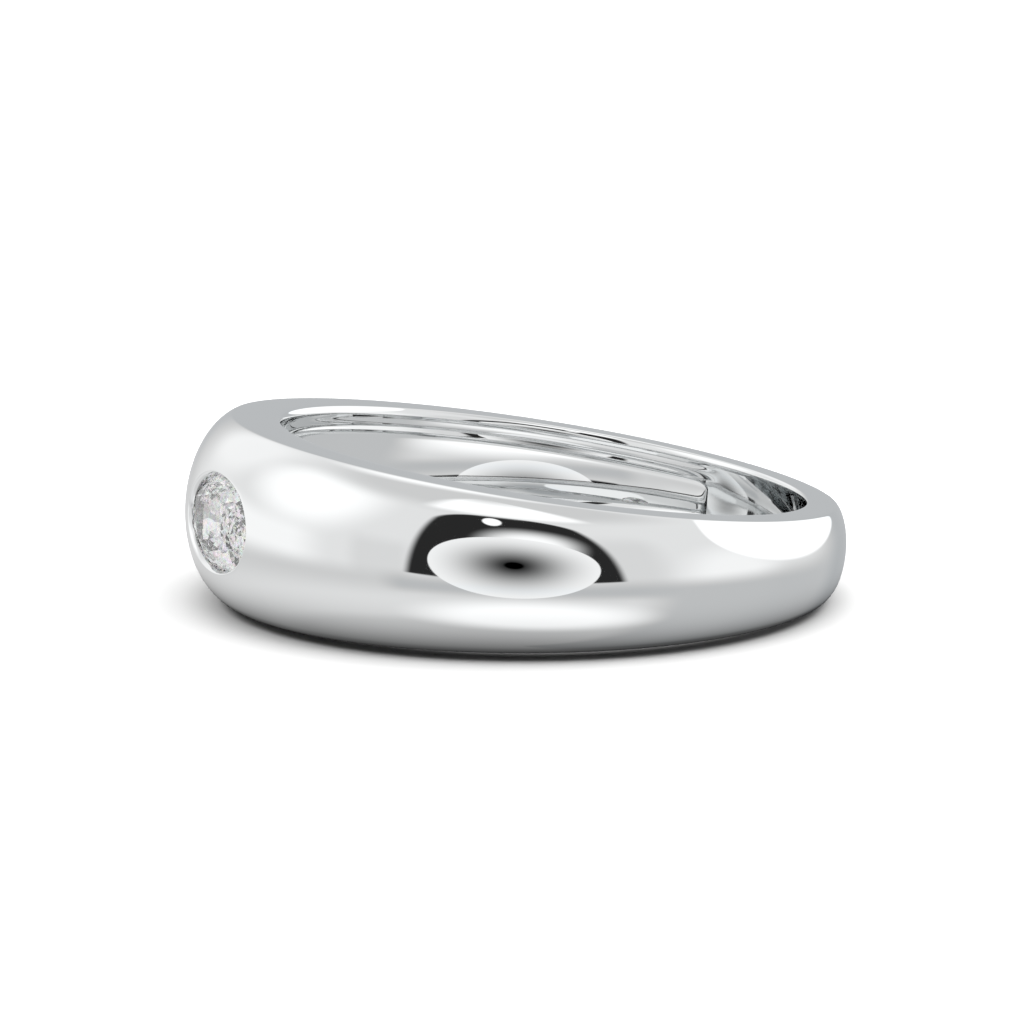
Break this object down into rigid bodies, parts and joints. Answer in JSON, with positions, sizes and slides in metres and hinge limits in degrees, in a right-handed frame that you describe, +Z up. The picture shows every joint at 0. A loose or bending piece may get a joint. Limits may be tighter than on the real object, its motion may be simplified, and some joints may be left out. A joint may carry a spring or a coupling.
{
  "type": "ring",
  "caption": "Domed ring that tapers to the back, hollowed inside, with an oval stone set flush in its front.",
  "frame": {"origin": "on the surface that the ring lies on, under the middle of the ring's outline", "axes": "+Z up, square to the side face that the ring lies on; the stone faces -Y; X runs across the ring, along the stone"},
  "size_m": [0.0212, 0.0212, 0.0059],
  "materials": {
    "white_metal": "mirror polished white gold",
    "clear_stone": "faceted and clear"
  },
  "bodies": {
    "root": {"band": "white_metal", "stone": "clear_stone"}
  },
  "joints": []
}
